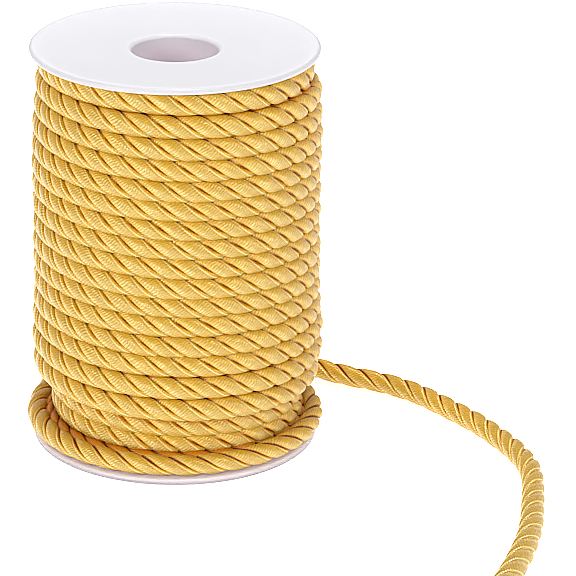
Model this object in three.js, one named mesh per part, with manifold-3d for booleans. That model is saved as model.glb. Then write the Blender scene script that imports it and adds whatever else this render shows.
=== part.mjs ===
// A twisted cord on a spool: a golden three-strand cord wound on a white flanged spool, with its
// loose end lying on the surface. Millimetres, +Z up along the spool's axis, origin at the centre
// of the bottom flange's underside, -Y towards the front.
import * as THREE from "three";
import { mergeVertices } from "three/addons/utils/BufferGeometryUtils.js";
import Module from "manifold-3d";

const wasm = await Module();
wasm.setup();

// Spool
const SPOOL_HEIGHT = 95.9;
const FLANGE_RADIUS = 33.5;
const FLANGE_THICKNESS = 1.5;
const HOLE_RADIUS = 10;
const LIP_RADIUS = 1; // rounding of the hole's edge
const HUB_RADIUS = 12;
const COLLAR_LENGTH = 8; // how far a flange's collar reaches towards the hub
const SPOOL_SIDES = 48;

// Cord
const CORD_RADIUS = 2.5;
const STRANDS = 3;
const LAY = 19; // length in which each strand goes once round the cord
const GROOVE_RADIUS = 1.85; // distance from the cord's axis to the groove between two strands
const SHOULDER = 0.22; // place of a strand's two section corners, as a share of the strand's arc

// Fit
const GAP = 0.3;
const MERGE_WITHIN = 1e-5;

// The turns of the wound cord, counted from the top at the front: height and radius of the cord's
// axis at each turn number. Fractions of a turn run from the front over the right side to the back.
const TURNS = [
  { turn: -1.0, height: 101.3, radius: 27.0 },
  { turn: 0.5, height: 94.2, radius: 27.0 },
  { turn: 0.75, height: 93.0, radius: 30.6 },
  { turn: 1.0, height: 91.9, radius: 31.0 },
  { turn: 1.12, height: 91.4, radius: 30.9 },
  { turn: 1.3, height: 91.6, radius: 28.6 },
  { turn: 1.55, height: 89.5, radius: 27.6 },
  { turn: 1.75, height: 87.6, radius: 31.0 },
  { turn: 2.0, height: 86.4, radius: 31.2 },
  { turn: 3.0, height: 81.25, radius: 31.2 },
  { turn: 4.0, height: 76.4, radius: 31.3 },
  { turn: 5.0, height: 71.4, radius: 31.2 },
  { turn: 6.0, height: 66.75, radius: 31.1 },
  { turn: 7.0, height: 62.1, radius: 31.1 },
  { turn: 8.0, height: 57.5, radius: 31.1 },
  { turn: 9.0, height: 52.9, radius: 31.1 },
  { turn: 10.0, height: 48.1, radius: 31.2 },
  { turn: 11.0, height: 43.6, radius: 31.1 },
  { turn: 12.0, height: 38.9, radius: 31.2 },
  { turn: 13.0, height: 33.9, radius: 31.2 },
  { turn: 14.0, height: 29.25, radius: 31.3 },
  { turn: 15.0, height: 23.9, radius: 31.4 },
  { turn: 16.0, height: 18.3, radius: 31.2 },
  { turn: 16.4, height: 16.6, radius: 30.9 },
  { turn: 16.7, height: 14.4, radius: 27.8 },
  { turn: 17.0, height: 12.8, radius: 27.4 },
  { turn: 18.0, height: 8.1, radius: 27.3 },
  { turn: 22.0, height: -10.7, radius: 27.2 },
];
const FIRST_TURN = -0.3;
const LAST_TURN = 20.3;
const LOBES_PER_TURN = 31;
const COLUMNS_PER_TURN = 2 * LOBES_PER_TURN; // one on each strand's crest and one in each groove
const VALLEY_ON_CREST = 0.7; // how far the valley between two turns stands out from the cord's axis
const VALLEY_IN_GROOVE = 0.1;

// The slack turn on the bottom flange: the cord's axis against the angle from the front, positive
// to the right. It leaves the spool at the rear, and its other end comes out of the lower layer at
// the right rear.
const SLACK_TURN = [
  { angle: -182, height: 5.0, radius: 32.4 },
  { angle: -90, height: 4.8, radius: 32.4 },
  { angle: 0, height: 4.9, radius: 32.4 },
  { angle: 90, height: 4.9, radius: 32.5 },
  { angle: 112, height: 5.2, radius: 32.3 },
  { angle: 132, height: 6.4, radius: 30.0 },
  { angle: 150, height: 9.0, radius: 24.0 },
];

// The loose end: the cord's axis from the slack turn at the rear to the cut end at the front right.
const LOOSE_END = [
  [1.1, 32.4, 5.0],
  [9.0, 32.5, 5.1],
  [18.0, 32.0, 4.8],
  [27.0, 30.6, 4.1],
  [36.2, 27.9, 3.3],
  [42.0, 25.2, 2.8],
  [50.9, 21.0, 2.55],
  [58.2, 15.0, 2.55],
  [64.3, 7.2, 2.55],
  [70.2, -0.9, 2.55],
  [75.2, -9.7, 2.55],
  [79.2, -18.6, 2.55],
  [81.6, -27.2, 2.55],
  [82.1, -35.5, 2.55],
  [81.4, -44.6, 2.55],
  [80.4, -53.4, 2.55],
  [79.2, -62.0, 2.55],
  [77.4, -70.0, 2.55],
  [75.0, -78.0, 2.55],
  [72.2, -86.3, 2.55],
  [69.0, -94.5, 2.55],
  [65.3, -102.6, 2.55],
  [61.0, -110.5, 2.55],
];
const STEPS_PER_LAY = 9;

const PLASTIC = { color: 0xeeedf2, roughness: 0.35, metalness: 0 };
const SATIN = { color: 0xe0ac48, roughness: 0.5, metalness: 0 };

const FULL_TURN = 2 * Math.PI;
const radians = THREE.MathUtils.degToRad;

// Value of one column of a table at a place between its rows, which are in rising order.
function readTable(table, key, column, at) {
  const found = table.findIndex((row) => row[key] > at);
  const next = found < 0 ? table.length - 1 : Math.max(1, found);
  const lower = table[next - 1];
  const upper = table[next];
  const share = (at - lower[key]) / (upper[key] - lower[key]);
  return THREE.MathUtils.lerp(lower[column], upper[column], THREE.MathUtils.clamp(share, 0, 1));
}

// Conversions between three.js geometry and solids for cutting and joining.
function solidFrom(geometry) {
  const bare = geometry.clone();
  bare.deleteAttribute("normal");
  bare.deleteAttribute("uv");
  const merged = mergeVertices(bare, MERGE_WITHIN);
  return new wasm.Manifold(
    new wasm.Mesh({
      numProp: 3,
      vertProperties: new Float32Array(merged.getAttribute("position").array),
      triVerts: new Uint32Array(merged.getIndex().array),
    }),
  );
}

function geometryFrom(solid) {
  const mesh = solid.getMesh();
  const geometry = new THREE.BufferGeometry();
  geometry.setAttribute("position", new THREE.BufferAttribute(mesh.vertProperties, mesh.numProp));
  geometry.setIndex(new THREE.BufferAttribute(mesh.triVerts, 1));
  geometry.computeVertexNormals();
  return geometry;
}

// A turned piece from a closed profile of [radius, height] points, standing along +Z.
function turned(profile) {
  const points = profile.map(([radius, height]) => new THREE.Vector2(radius, height));
  points.push(points[0].clone());
  const geometry = new THREE.LatheGeometry(points, SPOOL_SIDES);
  geometry.rotateX(Math.PI / 2);
  return geometry;
}

// Points of an arc in a profile, in degrees from the outward direction.
function arc(centreRadius, centreHeight, radius, from, to, steps) {
  return Array.from({ length: steps + 1 }, (_, i) => {
    const angle = radians(from + ((to - from) * i) / steps);
    return [centreRadius + radius * Math.cos(angle), centreHeight + radius * Math.sin(angle)];
  });
}

// A flange with its rim rounded and a collar round the hole, modelled as the top one. The other
// is the same piece turned over.
function flangeProfile() {
  const rim = FLANGE_THICKNESS / 2;
  const collarEnd = SPOOL_HEIGHT - COLLAR_LENGTH;
  return [
    [HUB_RADIUS, collarEnd],
    [HUB_RADIUS, SPOOL_HEIGHT - FLANGE_THICKNESS],
    ...arc(FLANGE_RADIUS - rim, SPOOL_HEIGHT - rim, rim, -90, 90, 4),
    ...arc(HOLE_RADIUS + LIP_RADIUS, SPOOL_HEIGHT - LIP_RADIUS, LIP_RADIUS, 90, 180, 4),
    [HOLE_RADIUS, collarEnd],
  ];
}

function topFlange() {
  return turned(flangeProfile());
}

function bottomFlange() {
  return topFlange().rotateX(Math.PI).translate(0, 0, SPOOL_HEIGHT);
}

function hub() {
  const low = COLLAR_LENGTH + GAP;
  const high = SPOOL_HEIGHT - COLLAR_LENGTH - GAP;
  return turned([
    [HOLE_RADIUS, low],
    [HUB_RADIUS, low],
    [HUB_RADIUS, high],
    [HOLE_RADIUS, high],
  ]);
}

// A closed cylinder on the axis, as a solid.
function cylinder(radius, low, high, sides) {
  const geometry = new THREE.CylinderGeometry(radius, radius, high - low, sides);
  geometry.rotateX(Math.PI / 2).translate(0, 0, (low + high) / 2);
  return solidFrom(geometry);
}

// One point of the layered turns' surface. Column counts half strands along the cord, and corner
// counts quarters of the way down the cord's outer side, from the valley above the turn. Corners
// lower down lie further along, so the columns follow the strands.
const CORNERS = 4;
const SLANT = 3; // columns that a strand runs along while it crosses the cord's outer side
const APEX_BEYOND = 20; // how far past the spool's ends the spiral closes to the axis, to be cut off
function turnPoint(column, corner) {
  const along = column + (SLANT * corner) / CORNERS;
  const turn = FIRST_TURN + along / COLUMNS_PER_TURN;
  const height = readTable(TURNS, "turn", "height", turn);
  const radius = readTable(TURNS, "turn", "radius", turn);
  const onCrest = column % 2 === 0;
  const angle = turn * FULL_TURN;
  if (corner === 0) {
    const above = readTable(TURNS, "turn", "height", turn - 1);
    const radiusAbove = readTable(TURNS, "turn", "radius", turn - 1);
    const valley = Math.min(radius, radiusAbove) + (onCrest ? VALLEY_ON_CREST : VALLEY_IN_GROOVE);
    return ringPoint(valley, angle, (height + above) / 2);
  }
  const lift = radians(90 - (180 * corner) / CORNERS);
  const reach = onCrest ? CORD_RADIUS : GROOVE_RADIUS;
  return ringPoint(radius + reach * Math.cos(lift), angle, height + reach * Math.sin(lift));
}

// A point at a radius and height, at an angle from the front, positive to the right.
function ringPoint(radius, angle, height) {
  return [radius * Math.sin(angle), -radius * Math.cos(angle), height];
}

// The layered turns as one body: a continuous spiral sheet, closed above and below to the axis.
function layeredTurns() {
  const columns = Math.round((LAST_TURN - FIRST_TURN - 1) * COLUMNS_PER_TURN);
  const nextTurn = COLUMNS_PER_TURN + SLANT;
  const positions = [];
  const place = new Map();
  const vertex = (column, corner) => {
    if (corner === CORNERS) return vertex(column + nextTurn, 0);
    const key = column * CORNERS + corner;
    if (!place.has(key)) {
      place.set(key, positions.length / 3);
      positions.push(...turnPoint(column, corner));
    }
    return place.get(key);
  };
  const triangles = [];
  for (let column = 0; column < columns; column += 1) {
    for (let corner = 0; corner < CORNERS; corner += 1) {
      const a = vertex(column, corner);
      const b = vertex(column, corner + 1);
      const c = vertex(column + 1, corner + 1);
      const d = vertex(column + 1, corner);
      triangles.push(a, b, c, a, c, d);
    }
  }
  const top = positions.length / 3;
  positions.push(0, 0, SPOOL_HEIGHT + APEX_BEYOND);
  const bottom = top + 1;
  positions.push(0, 0, -APEX_BEYOND);
  const closeTo = (apex, loop) =>
    loop.forEach((from, i) => triangles.push(apex, from, loop[(i + 1) % loop.length]));
  const upperEdge = [];
  for (let column = 0; column <= nextTurn; column += 1) upperEdge.push(vertex(column, 0));
  for (let corner = CORNERS - 1; corner > 0; corner -= 1) upperEdge.push(vertex(0, corner));
  closeTo(top, upperEdge);
  const lowerEdge = [];
  for (let column = columns - nextTurn; column <= columns; column += 1) {
    lowerEdge.push(vertex(column, CORNERS));
  }
  for (let corner = CORNERS - 1; corner > 0; corner -= 1) lowerEdge.push(vertex(columns, corner));
  closeTo(bottom, lowerEdge.reverse());
  const geometry = new THREE.BufferGeometry();
  geometry.setAttribute("position", new THREE.Float32BufferAttribute(positions, 3));
  geometry.setIndex(triangles);
  return solidFrom(geometry);
}

// The cord's section at a station: two corners on each strand and one in each groove, turned by
// the twist.
function section(centre, normal, binormal, twist) {
  const corners = [];
  for (let strand = 0; strand < STRANDS; strand += 1) {
    const outline = [[-SHOULDER, CORD_RADIUS], [SHOULDER, CORD_RADIUS], [0.5, GROOVE_RADIUS]];
    for (const [share, reach] of outline) {
      const angle = twist + (FULL_TURN * (strand + share)) / STRANDS;
      corners.push(
        centre
          .clone()
          .addScaledVector(normal, reach * Math.cos(angle))
          .addScaledVector(binormal, reach * Math.sin(angle)),
      );
    }
  }
  return corners;
}

// A length of twisted cord along a curve, closed at both ends.
function twistedLength(curve) {
  const steps = Math.ceil((curve.getLength() / LAY) * STEPS_PER_LAY);
  const frames = curve.computeFrenetFrames(steps, false);
  const points = curve.getSpacedPoints(steps);
  const sides = 3 * STRANDS;
  const positions = [];
  const triangles = [];
  points.forEach((centre, i) => {
    const twist = (FULL_TURN * i) / STEPS_PER_LAY;
    const ring = section(centre, frames.normals[i], frames.binormals[i], twist);
    ring.forEach((corner) => positions.push(corner.x, corner.y, corner.z));
  });
  for (let i = 0; i < steps; i += 1) {
    for (let side = 0; side < sides; side += 1) {
      const next = (side + 1) % sides;
      const a = i * sides + side;
      const b = i * sides + next;
      triangles.push(a, b, b + sides, a, b + sides, a + sides);
    }
  }
  [0, steps].forEach((end) => {
    const centre = positions.length / 3;
    positions.push(points[end].x, points[end].y, points[end].z);
    for (let side = 0; side < sides; side += 1) {
      const a = end * sides + side;
      const b = end * sides + ((side + 1) % sides);
      triangles.push(...(end === 0 ? [centre, b, a] : [centre, a, b]));
    }
  });
  const geometry = new THREE.BufferGeometry();
  geometry.setAttribute("position", new THREE.Float32BufferAttribute(positions, 3));
  geometry.setIndex(triangles);
  geometry.computeVertexNormals();
  return geometry;
}

// The slack turn's axis.
class SlackTurn extends THREE.Curve {
  getPoint(t, target = new THREE.Vector3()) {
    const first = SLACK_TURN[0].angle;
    const last = SLACK_TURN[SLACK_TURN.length - 1].angle;
    const angle = THREE.MathUtils.lerp(first, last, t);
    const radius = readTable(SLACK_TURN, "angle", "radius", angle);
    const height = readTable(SLACK_TURN, "angle", "height", angle);
    return target.set(...ringPoint(radius, radians(angle), height));
  }
}

function woundCord() {
  const clear = FLANGE_THICKNESS + GAP;
  const between = cylinder(FLANGE_RADIUS + CORD_RADIUS * 2, clear, SPOOL_HEIGHT - clear, SPOOL_SIDES);
  const bore = cylinder(HUB_RADIUS + GAP, 0, SPOOL_HEIGHT, SPOOL_SIDES);
  const turns = layeredTurns().intersect(between);
  const slack = solidFrom(twistedLength(new SlackTurn()));
  return geometryFrom(turns.add(slack).subtract(bore));
}

function looseEnd() {
  const points = LOOSE_END.map((point) => new THREE.Vector3(...point));
  points[0].x += GAP;
  return twistedLength(new THREE.CatmullRomCurve3(points, false, "centripetal"));
}

function mesh(name, geometry, look) {
  const made = new THREE.Mesh(geometry, new THREE.MeshStandardMaterial(look));
  made.name = name;
  return made;
}

const part = new THREE.Group();
part.add(mesh("hub", hub(), PLASTIC));
part.add(mesh("top_flange", topFlange(), PLASTIC));
part.add(mesh("bottom_flange", bottomFlange(), PLASTIC));
part.add(mesh("wound_cord", woundCord(), SATIN));
part.add(mesh("loose_end", looseEnd(), SATIN));

export default part;
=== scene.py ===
"""A golden twisted cord on a white spool, with its loose end lying on a plain pale floor.

Lengths are in metres. +Z runs up the spool's axis, -Y is the front and +X the right. Angles round
the spool are counted from the front, positive to the right.
"""

import math

import bpy
import numpy as np
from bpy.props import FloatProperty, FloatVectorProperty, IntProperty, PointerProperty
from bpy.types import Operator, Panel, PropertyGroup
from mathutils import Matrix, Vector


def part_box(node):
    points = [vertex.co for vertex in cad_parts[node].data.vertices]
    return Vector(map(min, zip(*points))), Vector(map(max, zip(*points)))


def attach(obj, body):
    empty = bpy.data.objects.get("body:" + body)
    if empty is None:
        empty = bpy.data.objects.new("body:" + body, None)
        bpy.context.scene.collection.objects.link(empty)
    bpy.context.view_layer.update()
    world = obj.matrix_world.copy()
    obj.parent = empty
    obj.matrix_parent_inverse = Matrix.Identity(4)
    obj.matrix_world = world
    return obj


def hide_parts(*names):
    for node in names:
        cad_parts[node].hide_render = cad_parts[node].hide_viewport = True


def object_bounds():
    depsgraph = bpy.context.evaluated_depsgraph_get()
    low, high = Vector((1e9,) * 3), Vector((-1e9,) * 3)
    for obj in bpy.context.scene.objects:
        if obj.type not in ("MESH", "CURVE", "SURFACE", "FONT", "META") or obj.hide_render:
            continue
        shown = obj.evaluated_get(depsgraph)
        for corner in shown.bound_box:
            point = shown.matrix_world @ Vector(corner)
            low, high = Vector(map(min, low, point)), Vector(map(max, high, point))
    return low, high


bl_info = {
    "name": "Twisted Cord on a Spool",
    "version": (1, 0, 0),
    "blender": (4, 5, 0),
    "location": "View3D > Sidebar > Cord",
    "description": "Makes a spool of golden three-strand cord with its loose end, and a studio",
    "category": "Add Mesh",
}

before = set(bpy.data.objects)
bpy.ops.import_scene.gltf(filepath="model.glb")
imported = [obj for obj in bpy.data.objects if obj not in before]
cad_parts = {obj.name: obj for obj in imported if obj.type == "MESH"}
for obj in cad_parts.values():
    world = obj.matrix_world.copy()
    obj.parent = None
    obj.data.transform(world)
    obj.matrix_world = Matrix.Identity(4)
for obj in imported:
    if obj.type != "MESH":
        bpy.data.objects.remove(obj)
SOLID_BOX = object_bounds()

MM = 0.001
FULL_TURN = 2 * math.pi
STRANDS = 3

# The turns on the spool, from the top down: turn number, height and radius of the cord's axis in
# millimetres. Whole numbers are at the front, and fractions run over the right side to the back.
TURNS = (
    (0.35, 92.2, 26.6),
    (0.5, 92.4, 27.0),
    (0.75, 92.4, 29.6),
    (1.0, 91.9, 31.0),
    (1.12, 91.4, 30.9),
    (1.3, 91.6, 28.6),
    (1.55, 89.5, 27.6),
    (1.75, 87.6, 30.2),
    (2.0, 86.4, 31.2),
    (2.75, 82.5, 30.5),
    (3.0, 81.25, 31.2),
    (3.75, 77.6, 30.9),
    (4.0, 76.4, 31.3),
    (5.0, 71.4, 31.2),
    (6.0, 66.75, 31.1),
    (7.0, 62.1, 31.1),
    (8.0, 57.5, 31.1),
    (9.0, 52.9, 31.1),
    (10.0, 48.1, 31.2),
    (11.0, 43.6, 31.1),
    (12.0, 38.9, 31.2),
    (13.0, 33.9, 31.2),
    (13.25, 32.8, 31.6),
    (14.0, 29.25, 31.3),
    (14.25, 27.9, 32.0),
    (15.0, 23.9, 31.4),
    (15.25, 22.5, 31.8),
    (16.0, 18.3, 31.2),
    (16.4, 16.6, 30.9),
    (16.7, 14.4, 27.8),
    (17.0, 12.8, 27.4),
    (18.0, 8.1, 27.3),
    (18.5, 6.15, 27.3),
)

# The slack turn on the bottom flange: angle in degrees, height and radius in millimetres.
SLACK_TURN = (
    (-183.5, 5.0, 32.4),
    (-125, 6.0, 32.6),
    (-90, 4.7, 32.6),
    (-60, 4.2, 31.5),
    (-30, 4.05, 30.9),
    (0, 4.05, 30.6),
    (30, 4.05, 30.9),
    (60, 4.2, 31.7),
    (90, 4.5, 32.7),
    (112, 5.2, 32.3),
    (132, 6.4, 30.0),
    (150, 9.0, 24.0),
)

# The loose end's axis, from the slack turn at the rear to the cut end at the front right.
LOOSE_END = (
    (0.0014, 0.0324, 0.0050),
    (0.0090, 0.0325, 0.0051),
    (0.0180, 0.0320, 0.0048),
    (0.0270, 0.0306, 0.0041),
    (0.0362, 0.0279, 0.0033),
    (0.0420, 0.0252, 0.0028),
    (0.0509, 0.0210, 0.00255),
    (0.0582, 0.0150, 0.00255),
    (0.0643, 0.0072, 0.00255),
    (0.0702, -0.0009, 0.00255),
    (0.0752, -0.0097, 0.00255),
    (0.0792, -0.0186, 0.00255),
    (0.0816, -0.0272, 0.00255),
    (0.0821, -0.0355, 0.00255),
    (0.0814, -0.0446, 0.00255),
    (0.0804, -0.0534, 0.00255),
    (0.0792, -0.0620, 0.00255),
    (0.0774, -0.0700, 0.00255),
    (0.0750, -0.0780, 0.00255),
    (0.0722, -0.0863, 0.00255),
    (0.0690, -0.0945, 0.00255),
    (0.0653, -0.1026, 0.00255),
    (0.0610, -0.1105, 0.00255),
)

# The layer under the outer one, in the same columns as the outer turns.
INNER_TURNS = (
    (0.0, 90.8, 27.4),
    (0.95, 89.6, 27.6),
    (1.1, 88.4, 28.6),
    (1.3, 88.2, 28.9),
    (1.5, 86.8, 27.4),
    (2.0, 83.9, 27.4),
    (16.0, 17.8, 27.4),
    (16.4, 15.4, 25.6),
    (19.1, 4.4, 25.4),
)

# The plain core under the inner layer, and how open to the light it is.
CORE_RADIUS = 25.8 * MM
CORE_OPENNESS = 0.35
CORE_SEGMENTS = 64

# The last turn under the slack one, in the same columns.
BURIED_TURN = (
    (18.45, 6.35, 27.3),
    (19.0, 4.2, 27.3),
    (19.25, 4.2, 28.6),
    (19.75, 4.2, 29.4),
    (20.1, 4.2, 28.8),
)

# The heights between which the wound cord lies: just clear of the two flanges.
ROOM_FOR_CORD = (1.55 * MM, 94.35 * MM)

# The least height of the loose end over the floor.
ABOVE_FLOOR = 0.02 * MM

# The strands of each cord: how they start round it in radians, the points round a strand, the
# seed of their unevenness, and how strong the painted shade on the cord's upper side is at its
# start and at its end.
LOOSE_STRANDS = (-0.05, 18, 11, (0.4, 0.05))
WOUND_STRANDS = (0.0, 16, 31, (0.3, 0.3))
INNER_STRANDS = (0.9, 8, 71, (0.3, 0.3))
BURIED_STRANDS = (0.9, 10, 73, (0.3, 0.3))
SLACK_STRANDS = (0.4, 18, 51, (0.34, 0.34))

# Steps along each cord for one lay of its strands. The loose end has those of the slack turn.
SLACK_STEPS = 36
WOUND_STEPS = 26
INNER_STEPS = 12
BURIED_STEPS = 18

# Places at which the tables are read: for each row of a table of turns, and for the slack turn.
PLACES_FOR_A_ROW = 400
SLACK_PLACES = 1200

# How the turns wander up and down and in and out: the seeds, how far in millimetres, and the
# lengths over which they do.
TURNS_SEED = 91
INNER_SEED = 95
BURIED_SEED = 97
WANDER = 0.12
WANDER_UP_AND_DOWN = 30 * MM
WANDER_IN_AND_OUT = 26 * MM

# How unevenly strands twist, in radians, and swell, as a share, and the lengths of both.
QUICK_WOBBLE = 0.05
QUICK_LENGTH = 9 * MM
SLOW_WOBBLE = 0.12
SLOW_LENGTH = 37 * MM
SWELL = 0.03
SWELL_LENGTH = 7 * MM

# The stretch in which the loose end opens up towards its cut end, as shares of its length.
OPENING_UP = (0.35, 0.9)

# Places of the wound cord beside the next turn: they end between these distances out from the
# cord's axis, as shares of its radius, and get this much less painted shade in their grooves.
# Level with the axis they are at most this open to the light, so that painted shade darkens the
# recess between the turns.
OUT_FROM_THE_TURNS = (0.45, 0.85)
BESIDE_LIGHTER = 0.85
BESIDE_OPENNESS = 0.5

# The painted shade on the cord's upper side grows between these heights over its axis, as shares
# of its radius.
UPPER_SIDE = (-0.15, 0.85)

# A strand is pressed wider where the cosine of a valley's angle from outward is under the first
# of these, and not at all where it is over the second.
TURNED_OUT = (0.3, 0.95)

# Points of the fine section that the valley beside a strand is read from, and how many are used.
SECTION_POINTS = 720
VALLEY_POINTS = 300

# The cord under the outer turns is open to the light by this share of its own openness.
UNDER_THE_TURNS = 0.62

# How much less painted shade the grooves get where the cord is slack.
SLACK_GROOVES = 0.2
LOOSE_GROOVES = 0.32

# The loose end starts only this open to the light, as a share, in the shadow of the spool.
BY_THE_SPOOL = 0.78

# The raised band round a flange: its height, and the slope and the easing of its inner edge.
BAND_HEIGHT = 0.2 * MM
BAND_SLOPE = 0.9 * MM
BAND_EASING = 0.02 * MM

# Steps of a rounded edge in a flange's profile, and the angle from which an edge is sharp.
ARC_STEPS = 12
SHARP_ANGLE = math.radians(50)

# Where the colours of the plastic, with their painted light and shade, pass into each other: out
# from the hole, up to its mouth, at the rim of a flange, up from the floor, and up the rim of the
# lower flange.
BY_THE_HOLE = (10.3 * MM, 11.2 * MM)
UP_THE_HOLE = (89 * MM, 95.5 * MM)
AT_THE_RIM = (32.4 * MM, 33.4 * MM)
UP_FROM_FLOOR = (2 * MM, 20 * MM)
UP_THE_RIM = (0.6 * MM, 1.45 * MM)

# How bright the dull places of the plastic are, and the painted shade on the lip of the hole, as
# shares of its colour.
DULL_PLACES = 0.97
LIP_SHADE = 0.82

# How far light goes in the plastic of the upper flange and the hub, and in that of the lower
# flange, in millimetres. A tenth of each is the share of the light that does.
LIT_UPPER = 3
LIT_LOWER = 8

# How strong the white light from all round is, and the point that the softboxes face.
SKY_STRENGTH = 0.62
MIDDLE_OF_SPOOL = (0, 0, 0.045)

# The softboxes: name, place, length of a side and power.
SOFTBOXES = (
    ("left_softbox", (-0.65, -0.7, 0.4), 0.3, 3.2),
    ("right_softbox", (0.7, -0.55, 0.35), 0.3, 1.8),
    ("top_softbox", (0.06, -0.08, 1.3), 0.2, 8.5),
)

# How strongly the picture is sharpened, at the tones that the eye sees.
SHARPENING = 0.2
SEEN_GAMMA = 2.2

# The wound turns sit a little to the right of the spool's axis.
OFF_CENTRE = 0.45 * MM


class CordSettings(PropertyGroup):
    """Sizes and colours of the twisted cord."""

    diameter: FloatProperty(
        name="Diameter",
        description="Thickness of the twisted cord",
        default=5 * MM,
        unit="LENGTH",
    )
    lay: FloatProperty(
        name="Lay",
        description="Length in which each strand goes once round the cord",
        default=18.2 * MM,
        unit="LENGTH",
    )
    strand_depth: FloatProperty(
        name="Strand Depth",
        description="Thickness of one strand towards the cord's axis",
        default=2.4 * MM,
        unit="LENGTH",
    )
    strand_width: FloatProperty(
        name="Strand Width",
        description="Thickness of one strand across the cord",
        default=3.0 * MM,
        unit="LENGTH",
    )
    pressed_width: FloatProperty(
        name="Pressed Strand Width",
        description="Thickness of one strand across the cord where the turns press on each other",
        default=2.9 * MM,
        unit="LENGTH",
    )
    fullness: FloatProperty(
        name="Strand Fullness",
        description="Shape of a strand's section: 1 is an oval, and more is squarer",
        default=1.12,
    )
    pressed_height: FloatProperty(
        name="Pressed Height",
        description="Height of the cord in a turn, where it runs a little into the next turns",
        default=5.7 * MM,
        unit="LENGTH",
    )
    spread: FloatProperty(
        name="Spread",
        description="How much wider a strand is pressed between two turns, as a share",
        default=0.12,
    )
    loosened: FloatProperty(
        name="Loosened End",
        description="How much thicker the cord is at its cut end, as a share",
        default=0.13,
    )
    thread_pitch: FloatProperty(
        name="Thread Pitch",
        description="Distance between the satin threads wrapped round a strand",
        default=0.54 * MM,
        unit="LENGTH",
    )
    thread_slant: FloatProperty(
        name="Thread Slant",
        description="How far a thread shifts along the strand for its way round it",
        default=0.47,
    )
    colour: FloatVectorProperty(
        name="Colour",
        description="Colour of the satin thread where it is brightest",
        default=(0.8, 0.625, 0.24),
        subtype="COLOR",
        min=0,
        max=1,
    )
    # Painted shade where the thread dips towards the next strand, also mixed in as random tone.
    ochre_tone_and_shade_colour: FloatVectorProperty(
        name="Ochre Colour",
        description="Colour of the thread where it dips towards the next strand",
        default=(0.74, 0.4, 0.012),
        subtype="COLOR",
        min=0,
        max=1,
    )
    # Painted shade deep between two strands.
    shade_colour: FloatVectorProperty(
        name="Shade Colour",
        description="Colour of the thread deep between two strands",
        default=(0.17, 0.03, 0.0006),
        subtype="COLOR",
        min=0,
        max=1,
    )


class SpoolSettings(PropertyGroup):
    """Sizes and colour of the plastic spool."""

    lip: FloatProperty(
        name="Hole Lip",
        description="Rounding of the edge of the hole",
        default=1.0 * MM,
        unit="LENGTH",
    )
    wall: FloatProperty(
        name="Hub Wall",
        description="Thickness of the tube through the spool",
        default=2.0 * MM,
        unit="LENGTH",
    )
    dish: FloatProperty(
        name="Dish",
        description="How far the face of a flange falls from its rim to the hole",
        default=0.75 * MM,
        unit="LENGTH",
    )
    thickness: FloatProperty(
        name="Flange Thickness",
        description="Thickness of a flange at its rim",
        default=1.5 * MM,
        unit="LENGTH",
    )
    rim_width: FloatProperty(
        name="Rim Width",
        description="Width of the slightly raised band round a flange",
        default=2.9 * MM,
        unit="LENGTH",
    )
    segments: IntProperty(
        name="Segments",
        description="Number of segments round the spool",
        default=160,
        min=32,
    )
    colour: FloatVectorProperty(
        name="Colour",
        description="Colour of the moulded plastic",
        default=(0.705, 0.70, 0.735),
        subtype="COLOR",
        min=0,
        max=1,
    )
    # Painted shade on the lower flange's rim near the floor.
    lower_rim_shade_colour: FloatVectorProperty(
        name="Lower Flange Colour",
        description="Colour of the lower flange on its rim near the floor, where it is darker",
        default=(0.28, 0.27, 0.29),
        subtype="COLOR",
        min=0,
        max=1,
    )
    # Painted shade on the lower flange's face, tinted pink by painted light bounced from the cord.
    lower_face_shade_and_bounce: FloatVectorProperty(
        name="Lower Flange's Upper Colour",
        description="Colour of the lower flange's face, which light comes through under the cord",
        default=(0.66, 0.57, 0.58),
        subtype="COLOR",
        min=0,
        max=1,
    )
    # Painted shade on the rounded rim of each flange.
    rim_shade_colour: FloatVectorProperty(
        name="Rim Colour",
        description="Colour of the plastic on the rounded rim of a flange",
        default=(0.5, 0.495, 0.52),
        subtype="COLOR",
        min=0,
        max=1,
    )
    # Painted light inside the hole, brighter and pinker than the plastic.
    hole_light_colour: FloatVectorProperty(
        name="Hole Colour",
        description="Colour of the plastic inside the hole, where light comes through it",
        default=(0.97, 0.85, 0.91),
        subtype="COLOR",
        min=0,
        max=1,
    )


class StageSettings(PropertyGroup):
    """The camera and the floor."""

    distance: FloatProperty(
        name="Camera Distance",
        description="Distance from the camera to the point it turns about",
        default=0.847719,
        unit="LENGTH",
    )
    target_height: FloatProperty(
        name="Target Height",
        description="Height of the point on the spool's axis that the camera turns about",
        default=0.035783,
        unit="LENGTH",
    )
    elevation: FloatProperty(
        name="Elevation",
        description="Height of the camera over the horizon",
        default=math.radians(21.532),
        subtype="ANGLE",
    )
    turn_right: FloatProperty(
        name="Turn to the Right",
        description="How far the camera is turned from the spool's axis to its right",
        default=math.radians(1.792),
        subtype="ANGLE",
    )
    focal_length: FloatProperty(
        name="Focal Length",
        description="Focal length of the lens, in millimetres",
        default=225.46,
    )
    floor_size: FloatProperty(
        name="Floor Size",
        description="Length of a side of the floor",
        default=6.0,
        unit="LENGTH",
    )


# Geometry

def column(table, key):
    """One column of a table as an array."""
    return np.array([row[key] for row in table], float)


def read_table(table, key, at):
    """One column of a table, read at places of its first column."""
    return np.interp(at, column(table, 0), column(table, key))


def unit(vectors):
    """The vectors at length one."""
    return vectors / np.linalg.norm(vectors, axis=1, keepdims=True)


def length_along(points):
    """The length of a line of points up to each of them."""
    steps = np.linalg.norm(np.diff(points, axis=0), axis=1)
    return np.concatenate([[0], np.cumsum(steps)])


def evenly(points, step):
    """The line of points again, in even steps."""
    run = length_along(points)
    at = np.linspace(0, run[-1], max(2, round(run[-1] / step) + 1))
    return np.column_stack([np.interp(at, run, points[:, axis]) for axis in range(3)])


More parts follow.
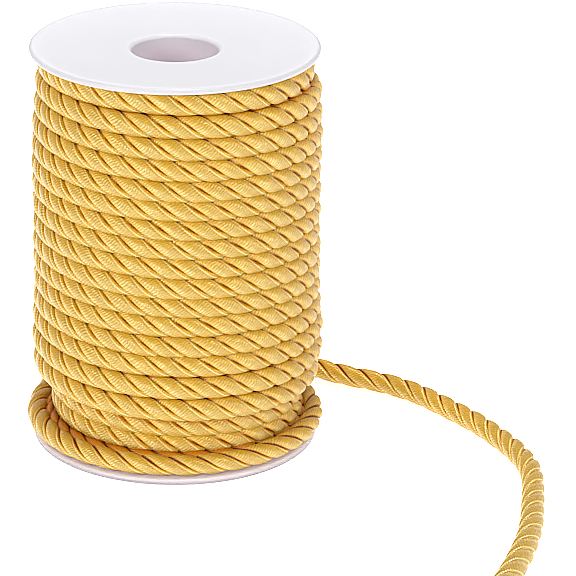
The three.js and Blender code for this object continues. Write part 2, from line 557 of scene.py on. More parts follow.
def smooth_line(points, per_span=24):
    """A centripetal Catmull-Rom curve through the points."""
    knots = np.array(points, float)
    knots = np.vstack([2 * knots[0] - knots[1], knots, 2 * knots[-1] - knots[-2]])
    line = []
    for a, b, c, d in zip(knots, knots[1:], knots[2:], knots[3:]):
        t0 = 0.0
        t1 = t0 + np.linalg.norm(b - a) ** 0.5
        t2 = t1 + np.linalg.norm(c - b) ** 0.5
        t3 = t2 + np.linalg.norm(d - c) ** 0.5
        t = np.linspace(t1, t2, per_span, endpoint=False)[:, None]
        ab = (t1 - t) / (t1 - t0) * a + (t - t0) / (t1 - t0) * b
        bc = (t2 - t) / (t2 - t1) * b + (t - t1) / (t2 - t1) * c
        cd = (t3 - t) / (t3 - t2) * c + (t - t2) / (t3 - t2) * d
        abc = (t2 - t) / (t2 - t0) * ab + (t - t0) / (t2 - t0) * bc
        bcd = (t3 - t) / (t3 - t1) * bc + (t - t1) / (t3 - t1) * cd
        line.append((t2 - t) / (t2 - t1) * abc + (t - t1) / (t2 - t1) * bcd)
    line.append(knots[-2][None])
    return np.vstack(line)


def round_spool(angle, height, radius):
    """Points round the spool at an angle from the front, in metres from millimetres."""
    return np.column_stack([radius * np.sin(angle), -radius * np.cos(angle), height]) * MM


def wound(table, step, seed):
    """The even line of a cord wound by a table of turns, as uneven as real turns are."""
    turn = np.linspace(table[0][0], table[-1][0], PLACES_FOR_A_ROW * len(table))
    height, radius = read_table(table, 1, turn), read_table(table, 2, turn)
    run = np.abs(turn - turn[0]) * FULL_TURN * radius * MM
    height = height + WANDER * wandering(run, WANDER_UP_AND_DOWN, seed)
    radius = radius + WANDER * wandering(run, WANDER_IN_AND_OUT, seed + 1)
    return evenly(round_spool(turn * FULL_TURN, height, radius), step)


def outward(points):
    """Directions away from the spool's axis."""
    flat = points * (1, 1, 0)
    return unit(flat)


def smooth_step(low, high, values):
    """Eases from 0 at the low value to 1 at the high one."""
    share = np.clip((values - low) / (high - low), 0, 1)
    return share * share * (3 - 2 * share)


def wandering(run, spacing, seed):
    """A slow random wander between about -1 and 1 along a length."""
    rng = np.random.default_rng(seed)
    knots = np.arange(0, run[-1] + 2 * spacing, spacing)
    values = rng.uniform(-1, 1, len(knots))
    place = run / spacing
    lower = np.floor(place).astype(int)
    share = place - lower
    ease = smooth_step(0, 1, share)
    return values[lower] * (1 - ease) + values[lower + 1] * ease


def section(sides, depth, width, fullness):
    """The outline of a strand across its length: an oval, squarer with more fullness."""
    beta = np.arange(sides) * FULL_TURN / sides
    power = 1 / fullness
    cosine, sine = np.cos(beta), np.sin(beta)
    outward_part = depth / 2 * np.sign(cosine) * np.abs(cosine) ** power
    sideways_part = width / 2 * np.sign(sine) * np.abs(sine) ** power
    return outward_part, sideways_part


def strand_girth(cord, width):
    """The way round a strand."""
    return FULL_TURN * (cord.strand_depth + width) / 4


class Strand:
    """Rings of points along one strand, and how open to the light each point is, for its painted
    shade.
    """

    def __init__(
        self, cord, points, side, strand, phase, sides, seed, shelter, neighbours=False, loosened=0
    ):
        width_of_strand = cord.pressed_width if neighbours else cord.strand_width
        run = length_along(points)
        tangent = unit(np.gradient(points, axis=0))
        side = unit(side - np.sum(side * tangent, axis=1, keepdims=True) * tangent)
        beside = np.cross(tangent, side)
        wobble = QUICK_WOBBLE * wandering(run, QUICK_LENGTH, seed)
        wobble += SLOW_WOBBLE * wandering(run, SLOW_LENGTH, seed + 1)
        twist = phase + FULL_TURN * strand / STRANDS + FULL_TURN * run / cord.lay + wobble
        away = side * np.cos(twist)[:, None] + beside * np.sin(twist)[:, None]
        swell = 1 + SWELL * wandering(run, SWELL_LENGTH, seed + 20 + strand)
        centre_radius = (cord.diameter - cord.strand_depth) / 2
        centres = points + away * centre_radius
        along = unit(np.gradient(centres, axis=0))
        away = unit(away - np.sum(away * along, axis=1, keepdims=True) * along)
        across = np.cross(along, away)
        depth, width = section(sides, cord.strand_depth, width_of_strand, cord.fullness)
        depth = depth * swell[:, None]
        width = width * swell[:, None] ** 2
        if neighbours:
            half = math.pi / STRANDS
            before, after = (self.spread(cord, twist + turn)[:, None] for turn in (-half, half))
            width = width * np.where(width > 0, after, before)
        self.rings = (
            centres[:, None]
            + depth[..., None] * away[:, None]
            + width[..., None] * across[:, None]
        )
        opened = 1 + loosened * smooth_step(*OPENING_UP, run / run[-1])
        self.rings = points[:, None] + (self.rings - points[:, None]) * opened[:, None, None]
        # How open to the light each point is, from how deep it lies between the strands, for the
        # thread's painted shade.
        crest = cord.diameter / 2
        valley = self.valley(cord, centre_radius, width_of_strand)
        from_axis = np.linalg.norm(self.rings - points[:, None], axis=2)
        self.openness = np.clip((from_axis - valley) / (crest - valley), 0, 1)
        rise = self.rings[..., 2] - points[:, None, 2]
        if neighbours:
            proud = np.sum((self.rings - points[:, None]) * side[:, None], axis=2) / crest
            # Painted shade: lighter grooves beside the next turn, and darker in the recess between
            # turns.
            beside_a_turn = 1 - smooth_step(*OUT_FROM_THE_TURNS, proud)
            self.openness += BESIDE_LIGHTER * beside_a_turn * (1 - self.openness)
            self.openness = np.minimum(self.openness, BESIDE_OPENNESS + np.clip(proud, 0, 1))
            self.rings[..., 2] += (cord.pressed_height / cord.diameter - 1) * rise
        # Painted shade on the cord's upper side.
        sheltered = smooth_step(*UPPER_SIDE, rise / crest)
        strength = np.interp(run / run[-1], (0, 1), shelter)
        self.openness = np.clip(self.openness * (1 - strength[:, None] * sheltered), 0, 1)
        self.run = length_along(centres)
        self.girth = strand_girth(cord, width_of_strand)

    @staticmethod
    def spread(cord, angle):
        """How much wider a strand is pressed beside a valley that faces the next turn."""
        return 1 + cord.spread * (1 - smooth_step(*TURNED_OUT, np.cos(angle)))

    @staticmethod
    def valley(cord, centre_radius, width):
        """Distance from the cord's axis to where two strands meet."""
        depth, width = section(SECTION_POINTS, cord.strand_depth, width, cord.fullness)
        out, aside = centre_radius + depth[:VALLEY_POINTS], width[:VALLEY_POINTS]
        return np.interp(math.pi / STRANDS, np.arctan2(aside, out), np.hypot(out, aside))

    def lighten(self, share):
        """Lessens the painted shade in the grooves of a slack cord."""
        self.openness += share * (1 - self.openness)

    def settle(self, aside, low, high):
        """Moves the strand aside, and presses it flat where it meets a flange or the floor."""
        self.rings[..., 0] += aside
        self.rings[..., 2] = np.clip(self.rings[..., 2], low, high)


def strands_of(cord, line, side, *settings, **more):
    """The strands of one cord, in order round it."""
    return [Strand(cord, line, side, k, *settings, **more) for k in range(STRANDS)]


def mesh_from_strands(name, strands):
    """One mesh object of closed strands, with a UV map in millimetres along and round them."""
    vertices, corners, starts, totals, uvs, openness = [], [], [], [], [], []
    first, corner_count = 0, 0
    for strand in strands:
        rings, sides = strand.rings.shape[:2]
        vertices.append(strand.rings.reshape(-1, 3))
        openness.append(strand.openness.reshape(-1))
        i, j = np.meshgrid(np.arange(rings - 1), np.arange(sides), indexing="ij")
        i, j = i.ravel(), j.ravel()
        nxt = (j + 1) % sides
        quads = np.stack(
            [i * sides + nxt, (i + 1) * sides + nxt, (i + 1) * sides + j, i * sides + j], axis=1
        )
        run = strand.run / MM
        ring_uv = strand.girth / MM * np.arange(sides + 1) / sides
        quad_uv = np.stack(
            [
                np.stack([run[i], ring_uv[j + 1]], 1),
                np.stack([run[i + 1], ring_uv[j + 1]], 1),
                np.stack([run[i + 1], ring_uv[j]], 1),
                np.stack([run[i], ring_uv[j]], 1),
            ],
            axis=1,
        )
        corners.append((quads + first).ravel())
        starts.append(corner_count + 4 * np.arange(len(quads)))
        totals.append(np.full(len(quads), 4))
        uvs.append(quad_uv.reshape(-1, 2))
        corner_count += 4 * len(quads)
        caps = (np.arange(sides)[::-1], (rings - 1) * sides + np.arange(sides))
        for cap, place in zip(caps, (run[0], run[-1])):
            corners.append(cap + first)
            starts.append(np.array([corner_count]))
            totals.append(np.array([sides]))
            uvs.append(np.column_stack([np.full(sides, place), ring_uv[:-1]]))
            corner_count += sides
        first += rings * sides
    mesh = bpy.data.meshes.new(name)
    vertices = np.vstack(vertices)
    corners = np.concatenate(corners)
    starts, totals = np.concatenate(starts), np.concatenate(totals)
    mesh.vertices.add(len(vertices))
    mesh.vertices.foreach_set("co", vertices.ravel())
    mesh.loops.add(len(corners))
    mesh.loops.foreach_set("vertex_index", corners.astype(np.int32))
    mesh.polygons.add(len(starts))
    mesh.polygons.foreach_set("loop_start", starts.astype(np.int32))
    mesh.polygons.foreach_set("loop_total", totals.astype(np.int32))
    mesh.polygons.foreach_set("use_smooth", totals == 4)
    uv_map = mesh.uv_layers.new(name="threads")
    uv_map.data.foreach_set("uv", np.vstack(uvs).ravel())
    attribute = mesh.attributes.new("openness", "FLOAT", "POINT")
    attribute.data.foreach_set("value", np.concatenate(openness))
    mesh.update(calc_edges=True)
    mesh.validate()
    piece = bpy.data.objects.new(name, mesh)
    bpy.context.scene.collection.objects.link(piece)
    return piece


def wrap_with_thread(mesh):
    """Gives a round core the thread's UV map and the openness of a deep place."""
    attribute = mesh.attributes.new("openness", "FLOAT", "POINT")
    attribute.data.foreach_set("value", np.full(len(mesh.vertices), CORE_OPENNESS))
    uv_map = mesh.uv_layers.new(name="threads")
    for loop, uv in zip(mesh.loops, uv_map.data):
        x, y, z = mesh.vertices[loop.vertex_index].co
        uv.uv = (math.atan2(x, -y) * math.hypot(x, y) / MM, z / MM)


def turned(name, profile, segments):
    """A closed profile of radius and height spun round the spool's axis."""
    count = len(profile)
    angle = np.arange(segments) * FULL_TURN / segments
    vertices = [
        (radius * math.cos(a), radius * math.sin(a), height)
        for a in angle
        for radius, height in profile
    ]
    faces = [
        (
            i * count + j,
            (i + 1) % segments * count + j,
            (i + 1) % segments * count + (j + 1) % count,
            i * count + (j + 1) % count,
        )
        for i in range(segments)
        for j in range(count)
    ]
    mesh = bpy.data.meshes.new(name)
    mesh.from_pydata(vertices, [], faces)
    mesh.polygons.foreach_set("use_smooth", [True] * len(faces))
    mesh.set_sharp_from_angle(angle=SHARP_ANGLE)
    piece = bpy.data.objects.new(name, mesh)
    bpy.context.scene.collection.objects.link(piece)
    return piece


def arc(centre_radius, centre_height, radius, start, end, steps):
    """Points of an arc in a profile, in degrees from the outward direction."""
    angles = np.radians(np.linspace(start, end, steps + 1))
    return [
        (centre_radius + radius * math.cos(a), centre_height + radius * math.sin(a))
        for a in angles
    ]


# Materials

class Nodes:
    """A short way to write a material's nodes."""

    def __init__(self, material):
        material.use_nodes = True
        self.tree = material.node_tree
        self.tree.nodes.clear()

    def add(self, kind, inputs=None, **settings):
        node = self.tree.nodes.new(kind)
        for key, value in settings.items():
            setattr(node, key, value)
        for key, value in (inputs or {}).items():
            if isinstance(value, bpy.types.NodeSocket):
                self.tree.links.new(value, node.inputs[key])
            else:
                node.inputs[key].default_value = value
        return node

    def math(self, operation, a, b=0.0, c=0.0):
        node = self.add("ShaderNodeMath", {0: a, 1: b, 2: c}, operation=operation)
        return node.outputs[0]

    def ramp(self, factor, stops):
        node = self.add("ShaderNodeValToRGB", {0: factor})
        elements = node.color_ramp.elements
        for end in (0, -1):
            elements[end].position = stops[end][0]
            elements[end].color = (*stops[end][1], 1)
        for place, colour in stops[1:-1]:
            elements.new(place).color = (*colour, 1)
        return node.outputs[0]

    def passing(self, value, low, high, start=0.0, end=1.0, kind="LINEAR"):
        """Passes from the start to the end where the value goes from low to high."""
        inputs = {0: value, 1: low, 2: high, 3: start, 4: end}
        return self.add("ShaderNodeMapRange", inputs, interpolation_type=kind).outputs[0]

    def mix(self, factor, a, b):
        node = self.add("ShaderNodeMix", data_type="RGBA")
        for key, value in ((0, factor), (6, a), (7, b)):
            if isinstance(value, bpy.types.NodeSocket):
                self.tree.links.new(value, node.inputs[key])
            elif key == 0:
                node.inputs[key].default_value = value
            else:
                node.inputs[key].default_value = (*value, 1)
        return node.outputs[2]

    def finish(self, shader):
        output = self.add("ShaderNodeOutputMaterial")
        self.tree.links.new(shader.outputs[0], output.inputs[0])


def shaded(colour, *shares):
    """A colour with only a share of its red, green and blue."""
    return tuple(c * share for c, share in zip(colour, shares))


def satin_thread(cord):
    """Golden satin thread wrapped closely across a strand, with painted shade and highlights."""
    material = bpy.data.materials.new("golden_satin_thread")
    nodes = Nodes(material)
    uv = nodes.add("ShaderNodeUVMap", uv_map="threads").outputs[0]
    place = nodes.add("ShaderNodeSeparateXYZ", {0: uv})
    run, girth = place.outputs[0], place.outputs[1]
    drift = nodes.add("ShaderNodeTexNoise", {"Vector": uv, "Scale": 0.11, "Detail": 1.0})
    slanted = nodes.math("MULTIPLY_ADD", girth, cord.thread_slant, run)
    drifted = nodes.math("MULTIPLY_ADD", drift.outputs[0], 1.6, slanted)
    threads = nodes.math("DIVIDE", drifted, cord.thread_pitch / MM)
    wave = nodes.math("SINE", nodes.math("MULTIPLY", threads, math.pi))
    ridge = nodes.math("ABSOLUTE", wave)
    which = nodes.math("FLOOR", threads)
    shade = nodes.add("ShaderNodeTexWhiteNoise", {"W": which}, noise_dimensions="1D").outputs[0]
    stretched = nodes.add(
        "ShaderNodeCombineXYZ", {0: nodes.math("MULTIPLY", drifted, 9.0), 1: girth}
    ).outputs[0]
    filaments = nodes.add(
        "ShaderNodeTexNoise", {"Vector": stretched, "Scale": 0.9, "Detail": 3.0}
    ).outputs[0]
    streak_run = nodes.math("MULTIPLY", drifted, 1.5)
    streak_girth = nodes.math("MULTIPLY", girth, 0.25)
    along_thread = nodes.add(
        "ShaderNodeCombineXYZ", {0: streak_run, 1: streak_girth}
    ).outputs[0]
    streaks = nodes.add(
        "ShaderNodeTexNoise", {"Vector": along_thread, "Scale": 1.0, "Detail": 2.0}
    ).outputs[0]
    streak = nodes.passing(streaks, 0.35, 0.7)
    cloud = nodes.add("ShaderNodeTexNoise", {"Vector": uv, "Scale": 0.09, "Detail": 2.0}).outputs[0]
    openness = nodes.add("ShaderNodeAttribute", attribute_name="openness").outputs[2]

    full = tuple(cord.colour)
    tan = shaded(full, 0.68, 0.57, 0.2)
    olive = shaded(full, 0.55, 0.44, 0.1)
    between = shaded(full, 0.42, 0.3, 0.05)
    deep = tuple(cord.shade_colour)
    ochre = tuple(cord.ochre_tone_and_shade_colour)
    orange = shaded(ochre, 0.74, 0.42, 0.15)

    # The place round a strand: 0.25 is its upper side, 0.5 its crest and 0.75 its lower side.
    rounds_for_a_mm = 1 / strand_girth(cord, cord.strand_width) * MM
    round_strand = nodes.math("FRACT", nodes.math("MULTIPLY_ADD", girth, rounds_for_a_mm, 0.5))
    # Painted light and shade round a strand: a thin olive line of shade on its upper half, the full
    # colour as a broad painted highlight on its lower half, and tan elsewhere.
    lit = nodes.ramp(round_strand, (
        (0.0, tan), (0.35, olive), (0.38, olive), (0.41, tan), (0.51, tan), (0.57, full),
        (0.7, full), (0.75, tan), (1.0, tan),
    ))
    light = nodes.mix(nodes.math("POWER", ridge, 0.9), between, lit)
    light = nodes.mix(nodes.math("MULTIPLY", shade, 0.35), light, between)
    light = nodes.mix(nodes.math("MULTIPLY", streak, 0.6), light, between)
    light = nodes.mix(nodes.math("MULTIPLY", cloud, 0.3), light, ochre)
    # Painted shade in the grooves between strands: ochre, then orange, then the deep shade colour
    # as the thread is less open to the light.
    groove = nodes.ramp(openness, ((0.0, deep), (0.17, deep), (0.38, orange), (0.66, ochre)))
    out_of_groove = nodes.passing(openness, 0.4, 1.0, kind="SMOOTHSTEP")
    colour = nodes.mix(out_of_groove, groove, light)

    # Painted shade on the lower side of a strand in a slit, and a painted highlight line on the
    # upper side of the next.
    off, on = (0.0, 0.0, 0.0), (1.0, 1.0, 1.0)
    in_slit = nodes.passing(openness, 0.72, 0.55, 0.0, 0.9)
    flank = nodes.ramp(round_strand, ((0.68, off), (0.72, on), (0.84, on), (0.88, off)))
    colour = nodes.mix(nodes.math("MULTIPLY", flank, in_slit), colour, deep)
    in_view = nodes.passing(openness, 0.4, 0.6, 0.0, 0.8)
    edge = nodes.ramp(round_strand, ((0.29, off), (0.308, on), (0.322, on), (0.345, off)))
    colour = nodes.mix(nodes.math("MULTIPLY", edge, in_view), colour, full)
    bumps = nodes.math("MULTIPLY_ADD", filaments, 0.18, ridge)
    bump = nodes.add(
        "ShaderNodeBump", {"Height": bumps, "Strength": 1.0, "Distance": 0.07 * MM}
    )
    tangent = nodes.add("ShaderNodeTangent", direction_type="UV_MAP", uv_map="threads")
    roughness = nodes.math("MULTIPLY_ADD", filaments, 0.2, 0.2)
    gloss = nodes.passing(openness, 0.2, 0.95)
    shader = nodes.add(
        "ShaderNodeBsdfPrincipled",
        {
            "Base Color": colour,
            "Subsurface Weight": 0.3,
            "Subsurface Radius": (1.0, 0.55, 0.1),
            "Subsurface Scale": 0.9 * MM,
            "Roughness": roughness,
            "Normal": bump.outputs[0],
            "Tangent": tangent.outputs[0],
            "Anisotropic": 0.8,
            "Anisotropic Rotation": 0.93,
            "IOR": 1.7,
            "Specular IOR Level": gloss,
            "Specular Tint": (1.0, 0.92, 0.6, 1),
            "Sheen Weight": 0.02,
            "Sheen Roughness": 0.4,
            "Sheen Tint": (1.0, 0.85, 0.5, 1),
        },
    )
    nodes.finish(shader)
    return material


def moulded_plastic(name, spool, lit_through):
    """White moulded plastic with a soft gloss, which more or less light comes through."""
    material = bpy.data.materials.new(name)
    nodes = Nodes(material)
    where = nodes.add("ShaderNodeTexCoord").outputs["Object"]
    across = nodes.add("ShaderNodeVectorMath", {0: where, 1: (1, 1, 0)}, operation="MULTIPLY")
    distance = nodes.add("ShaderNodeVectorMath", {0: across.outputs[0]}, operation="LENGTH")
    radius = distance.outputs[1]
    height = nodes.add("ShaderNodeSeparateXYZ", {0: where}).outputs[2]
    by_hole = nodes.passing(radius, *BY_THE_HOLE, 1.0, 0.0, kind="SMOOTHSTEP")
    in_hole = nodes.passing(height, *UP_THE_HOLE, 1.0, 0.0)
    cloud = nodes.add("ShaderNodeTexNoise", {"Vector": where, "Scale": 60.0, "Detail": 3.0})
    grain = nodes.add("ShaderNodeTexNoise", {"Vector": where, "Scale": 2500.0, "Detail": 2.0})
    tint = tuple(spool.colour)
    dull = shaded(tint, DULL_PLACES, DULL_PLACES, DULL_PLACES)
    colour = nodes.mix(cloud.outputs[0], dull, tint)
    # Painted shade on the rim of each flange.
    at_rim = nodes.passing(radius, *AT_THE_RIM, kind="SMOOTHSTEP")
    colour = nodes.mix(at_rim, colour, tuple(spool.rim_shade_colour))
    # Painted shade on the lower flange: darker down its rim near the floor, and a pink painted
    # bounce from the cord on its face.
    low = nodes.passing(height, *UP_FROM_FLOOR, 1.0, 0.0)
    up_the_rim = nodes.passing(height, *UP_THE_RIM, kind="SMOOTHSTEP")
    lower = nodes.mix(up_the_rim, tuple(spool.lower_rim_shade_colour), tuple(spool.lower_face_shade_and_bounce))
    colour = nodes.mix(low, colour, lower)
    # Painted shade on the lip of the hole, and painted light deeper in the hole.
    lip = shaded(tint, LIP_SHADE, LIP_SHADE, LIP_SHADE)
    hole = nodes.mix(in_hole, lip, tuple(spool.hole_light_colour))
    colour = nodes.mix(by_hole, colour, hole)
    roughness = nodes.math("MULTIPLY_ADD", cloud.outputs[0], 0.12, 0.3)
    bump = nodes.add(
        "ShaderNodeBump", {"Height": grain.outputs[0], "Strength": 0.08, "Distance": 0.02 * MM}
    )
    shader = nodes.add(
        "ShaderNodeBsdfPrincipled",
        {
            "Base Color": colour,
            "Roughness": roughness,
            "Normal": bump.outputs[0],
            "IOR": 1.46,
            "Subsurface Weight": 0.1 * lit_through,
            "Subsurface Radius": (1.0, 0.9, 0.95),
            "Subsurface Scale": lit_through * MM,
        },
    )
    nodes.finish(shader)
    return material


def pale_floor():
    """A plain pale floor, which glows so that it stays nearly white."""
    material = bpy.data.materials.new("pale_floor")
    nodes = Nodes(material)
    shader = nodes.add(
        "ShaderNodeBsdfPrincipled",
        {
            "Base Color": (0.93, 0.93, 0.93, 1),
            "Roughness": 0.9,
            "Specular IOR Level": 0.1,
            "Emission Color": (1, 1, 1, 1),
            "Emission Strength": 0.7,
        },
    )
    nodes.finish(shader)
    return material


def ready_thread(cord):
    """The satin thread's material, made once."""
    return bpy.data.materials.get("golden_satin_thread") or satin_thread(cord)


def dress(piece, material, slot, *replaced):
    """Gives a piece its material and its place in the frame."""
    piece.data.materials.append(material)
    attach(piece, "root")
    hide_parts(*replaced)


# Operators

class SCENE_OT_cord_stage(Operator):
    """Add the camera, the pale floor and the soft studio light"""

    bl_idname = "scene.cord_stage"
    bl_label = "Studio Stage"

    def execute(self, context):
        stage = context.scene.cord_stage
        self.camera(context, stage)
        self.floor(context, stage)
        self.lights(context)
        self.picture(context.scene)
        return {"FINISHED"}

    def picture(self, scene):
        """Plain colours and the slight sharpening of a studio photograph."""
        scene.view_settings.view_transform = "Standard"
        scene.use_nodes = True
        tree = scene.node_tree
        tree.nodes.clear()
        layers = tree.nodes.new("CompositorNodeRLayers")

        # Mixed at a factor of 0, the picture is only clamped.
        clamp = tree.nodes.new("CompositorNodeMixRGB")
        clamp.blend_type = "MULTIPLY"
        clamp.use_clamp = True
        clamp.inputs["Fac"].default_value = 0
        to_seen = tree.nodes.new("CompositorNodeGamma")
        to_seen.inputs["Gamma"].default_value = 1 / SEEN_GAMMA
        sharpen = tree.nodes.new("CompositorNodeFilter")
        sharpen.filter_type = "SHARPEN"
        sharpen.inputs["Fac"].default_value = SHARPENING
        to_light = tree.nodes.new("CompositorNodeGamma")
        to_light.inputs["Gamma"].default_value = SEEN_GAMMA
        composite = tree.nodes.new("CompositorNodeComposite")
        tree.links.new(layers.outputs["Image"], clamp.inputs[1])
        chain = (clamp, to_seen, sharpen, to_light, composite)
        for node, following in zip(chain, chain[1:]):
            tree.links.new(node.outputs["Image"], following.inputs["Image"])

    def camera(self, context, stage):
        data = bpy.data.cameras.new("camera")
        data.sensor_width = 36
        data.lens = stage.focal_length
        data.clip_start = 0.05
        data.clip_end = 20
        camera = bpy.data.objects.new("camera", data)
        context.scene.collection.objects.link(camera)
        turn = Matrix.Rotation(math.radians(90) - stage.elevation, 4, "X")
        turn = turn @ Matrix.Rotation(-stage.turn_right, 4, "Y")
        place = (
            0,
            -stage.distance * math.cos(stage.elevation),
            stage.target_height + stage.distance * math.sin(stage.elevation),
        )
        camera.matrix_world = Matrix.Translation(place) @ turn
        context.scene.camera = camera

    def floor(self, context, stage):
        half = stage.floor_size / 2
        mesh = bpy.data.meshes.new("floor")
        corners = [(-half, -half, 0), (half, -half, 0), (half, half, 0), (-half, half, 0)]
        mesh.from_pydata(corners, [], [(0, 1, 2, 3)])
        mesh.materials.append(pale_floor())
        floor = bpy.data.objects.new("floor", mesh)
        floor.location.z = -0.05 * MM
        context.scene.collection.objects.link(floor)

    def lights(self, context):
        world = bpy.data.worlds.new("studio_white")
        context.scene.world = world
        world.use_nodes = True
        background = world.node_tree.nodes["Background"]
        background.inputs[0].default_value = (1, 1, 1, 1)
        background.inputs[1].default_value = SKY_STRENGTH
        for softbox in SOFTBOXES:
            self.softbox(context, *softbox)

    def softbox(self, context, name, place, size, power):
        """Adds one soft light that faces the middle of the spool."""
        data = bpy.data.lights.new(name, "AREA")
        data.shape = "SQUARE"
        data.size = size
        data.energy = power
        light = bpy.data.objects.new(name, data)
        light.visible_camera = False
        from_spool = Vector(place) - Vector(MIDDLE_OF_SPOOL)
        turn = from_spool.to_track_quat("Z", "Y").to_matrix().to_4x4()
        light.matrix_world = Matrix.Translation(place) @ turn
        context.scene.collection.objects.link(light)


class MESH_OT_loose_end(Operator):
    """Add the cord that has come off the spool"""

    bl_idname = "mesh.cord_loose_end"
    bl_label = "Loose End"

    def execute(self, context):
        cord = context.scene.twisted_cord
        line = evenly(smooth_line(LOOSE_END), cord.lay / SLACK_STEPS)
        upward = np.tile((0.0, 0.0, 1.0), (len(line), 1))
        strands = strands_of(cord, line, upward, *LOOSE_STRANDS, loosened=cord.loosened)
        for strand in strands:
            strand.settle(0, ABOVE_FLOOR, SOLID_BOX[1][2])
            strand.lighten(LOOSE_GROOVES)
            share = np.interp(strand.run / strand.run[-1], (0, 0.5), (BY_THE_SPOOL, 1))
            strand.openness *= share[:, None]
        piece = mesh_from_strands("loose_cord", strands)
        material = ready_thread(cord)
        dress(piece, material, "satin_cord", "loose_end")
        return {"FINISHED"}


class MESH_OT_wound_turns(Operator):
    """Add the turns of cord on the spool, one piece for each strand"""

    bl_idname = "mesh.cord_wound_turns"
    bl_label = "Wound Turns"

    def execute(self, context):
        cord = context.scene.twisted_cord
        line = wound(TURNS, cord.lay / WOUND_STEPS, TURNS_SEED)
        strands = strands_of(cord, line, outward(line), *WOUND_STRANDS, neighbours=True)
        material = ready_thread(cord)
        for number, strand in enumerate(strands, 1):
            strand.settle(OFF_CENTRE, *ROOM_FOR_CORD)
            piece = mesh_from_strands(f"wound_strand_{number}", [strand])
            dress(piece, material, "satin_cord", "wound_cord")
        return {"FINISHED"}


class MESH_OT_inner_layer(Operator):
    """Add the layer of cord that shows in the gaps of the outer one, on a plain core"""

    bl_idname = "mesh.cord_inner_layer"
    bl_label = "Inner Layer"

    def execute(self, context):
        cord = context.scene.twisted_cord
        line = wound(INNER_TURNS, cord.lay / INNER_STEPS, INNER_SEED)
        strands = strands_of(cord, line, outward(line), *INNER_STRANDS, neighbours=True)
        buried = wound(BURIED_TURN, cord.lay / BURIED_STEPS, BURIED_SEED)
        strands += strands_of(cord, buried, outward(buried), *BURIED_STRANDS, neighbours=True)
        for strand in strands:
            strand.settle(OFF_CENTRE, *ROOM_FOR_CORD)
            strand.openness *= UNDER_THE_TURNS
        piece = mesh_from_strands("inner_turns", strands)
        material = ready_thread(cord)
        dress(piece, material, "satin_cord", "wound_cord")
        low, high = ROOM_FOR_CORD
        inside = CORE_RADIUS - cord.diameter
        profile = [(inside, low), (CORE_RADIUS, low), (CORE_RADIUS, high), (inside, high)]
        core = turned("inner_core", profile, CORE_SEGMENTS)
        wrap_with_thread(core.data)
        dress(core, material, "satin_cord", "wound_cord")
        return {"FINISHED"}


class MESH_OT_slack_turn(Operator):
    """Add the slack turn that lies on the bottom flange"""

    bl_idname = "mesh.cord_slack_turn"
    bl_label = "Slack Turn"

    def execute(self, context):
        cord = context.scene.twisted_cord
        angle = np.linspace(SLACK_TURN[0][0], SLACK_TURN[-1][0], SLACK_PLACES)
        height = read_table(SLACK_TURN, 1, angle)
        radius = read_table(SLACK_TURN, 2, angle)
        line = evenly(round_spool(np.radians(angle), height, radius), cord.lay / SLACK_STEPS)
        strands = strands_of(cord, line, outward(line), *SLACK_STRANDS)
        for strand in strands:
            strand.settle(0, *ROOM_FOR_CORD)
            strand.lighten(SLACK_GROOVES)
        piece = mesh_from_strands("slack_turn", strands)
        material = ready_thread(cord)
        dress(piece, material, "satin_cord", "wound_cord")
        return {"FINISHED"}


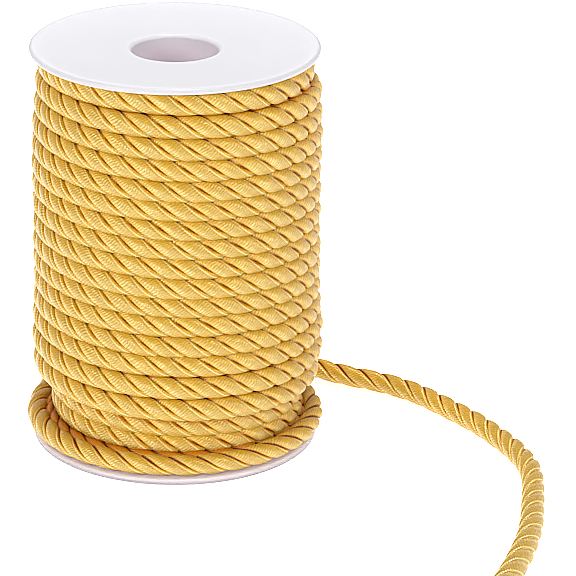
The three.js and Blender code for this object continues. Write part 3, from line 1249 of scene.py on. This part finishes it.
class MESH_OT_plastic_spool(Operator):
    """Add the white spool: the hub and its two flanges"""

    bl_idname = "mesh.cord_plastic_spool"
    bl_label = "Plastic Spool"

    def execute(self, context):
        spool = context.scene.plastic_spool
        low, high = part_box("top_flange")
        hub_low, hub_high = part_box("hub")
        self.radius = (high[0] - low[0]) / 2
        self.height = high[2]
        self.hub_radius = (hub_high[0] - hub_low[0]) / 2
        self.hole_radius = self.hub_radius - spool.wall
        self.collar_end = low[2]
        material = moulded_plastic("white_moulded_plastic", spool, LIT_UPPER)
        lower_material = moulded_plastic("translucent_moulded_plastic", spool, LIT_LOWER)
        upper = turned("upper_flange", self.flange(spool), spool.segments)
        dress(upper, material, "spool_plastic", "top_flange")
        below = [(radius, self.height - height) for radius, height in self.flange(spool)]
        lower = turned("lower_flange", below[::-1], spool.segments)
        dress(lower, lower_material, "spool_plastic", "bottom_flange")
        tube = [
            (self.hole_radius, hub_low[2]),
            (self.hub_radius, hub_low[2]),
            (self.hub_radius, hub_high[2]),
            (self.hole_radius, hub_high[2]),
        ]
        dress(turned("hub_tube", tube, spool.segments), material, "spool_plastic", "hub")
        return {"FINISHED"}

    def flange(self, spool):
        """The profile of the upper flange: its collar, underside, rim, face and hole."""
        rim = spool.thickness / 2
        face = self.height - BAND_HEIGHT
        band = self.radius - spool.rim_width
        lip_centre = self.hole_radius + spool.lip
        return [
            (self.hub_radius, self.collar_end),
            (self.hub_radius, self.height - spool.thickness),
            *arc(self.radius - rim, self.height - rim, rim, -90, 90, ARC_STEPS),
            (band + BAND_SLOPE, self.height - BAND_EASING),
            (band + BAND_SLOPE / 2, self.height - BAND_HEIGHT / 2),
            (band, face),
            *arc(lip_centre, face - spool.dish - spool.lip, spool.lip, 90, 180, ARC_STEPS),
            (self.hole_radius, self.collar_end),
        ]


class VIEW3D_PT_twisted_cord(Panel):
    """The cord's pieces and sizes"""

    bl_label = "Twisted Cord"
    bl_idname = "VIEW3D_PT_twisted_cord"
    bl_space_type = "VIEW_3D"
    bl_region_type = "UI"
    bl_category = "Cord"

    def draw(self, context):
        for settings in ("twisted_cord", "plastic_spool", "cord_stage"):
            box = self.layout.box()
            group = getattr(context.scene, settings)
            for key in group.__annotations__:
                box.prop(group, key)
        for operator in OPERATORS:
            self.layout.operator(operator.bl_idname)


OPERATORS = (
    SCENE_OT_cord_stage,
    MESH_OT_loose_end,
    MESH_OT_wound_turns,
    MESH_OT_inner_layer,
    MESH_OT_slack_turn,
    MESH_OT_plastic_spool,
)
CLASSES = (CordSettings, SpoolSettings, StageSettings, *OPERATORS, VIEW3D_PT_twisted_cord)


def register():
    for cls in CLASSES:
        bpy.utils.register_class(cls)
    bpy.types.Scene.twisted_cord = PointerProperty(type=CordSettings)
    bpy.types.Scene.plastic_spool = PointerProperty(type=SpoolSettings)
    bpy.types.Scene.cord_stage = PointerProperty(type=StageSettings)


def unregister():
    del bpy.types.Scene.cord_stage
    del bpy.types.Scene.plastic_spool
    del bpy.types.Scene.twisted_cord
    for cls in reversed(CLASSES):
        bpy.utils.unregister_class(cls)


def main():
    """Makes the whole scene in order."""
    register()
    bpy.ops.scene.cord_stage()
    bpy.ops.mesh.cord_loose_end()
    bpy.ops.mesh.cord_wound_turns()
    bpy.ops.mesh.cord_inner_layer()
    bpy.ops.mesh.cord_slack_turn()
    bpy.ops.mesh.cord_plastic_spool()


if __name__ == "__main__":
    main()
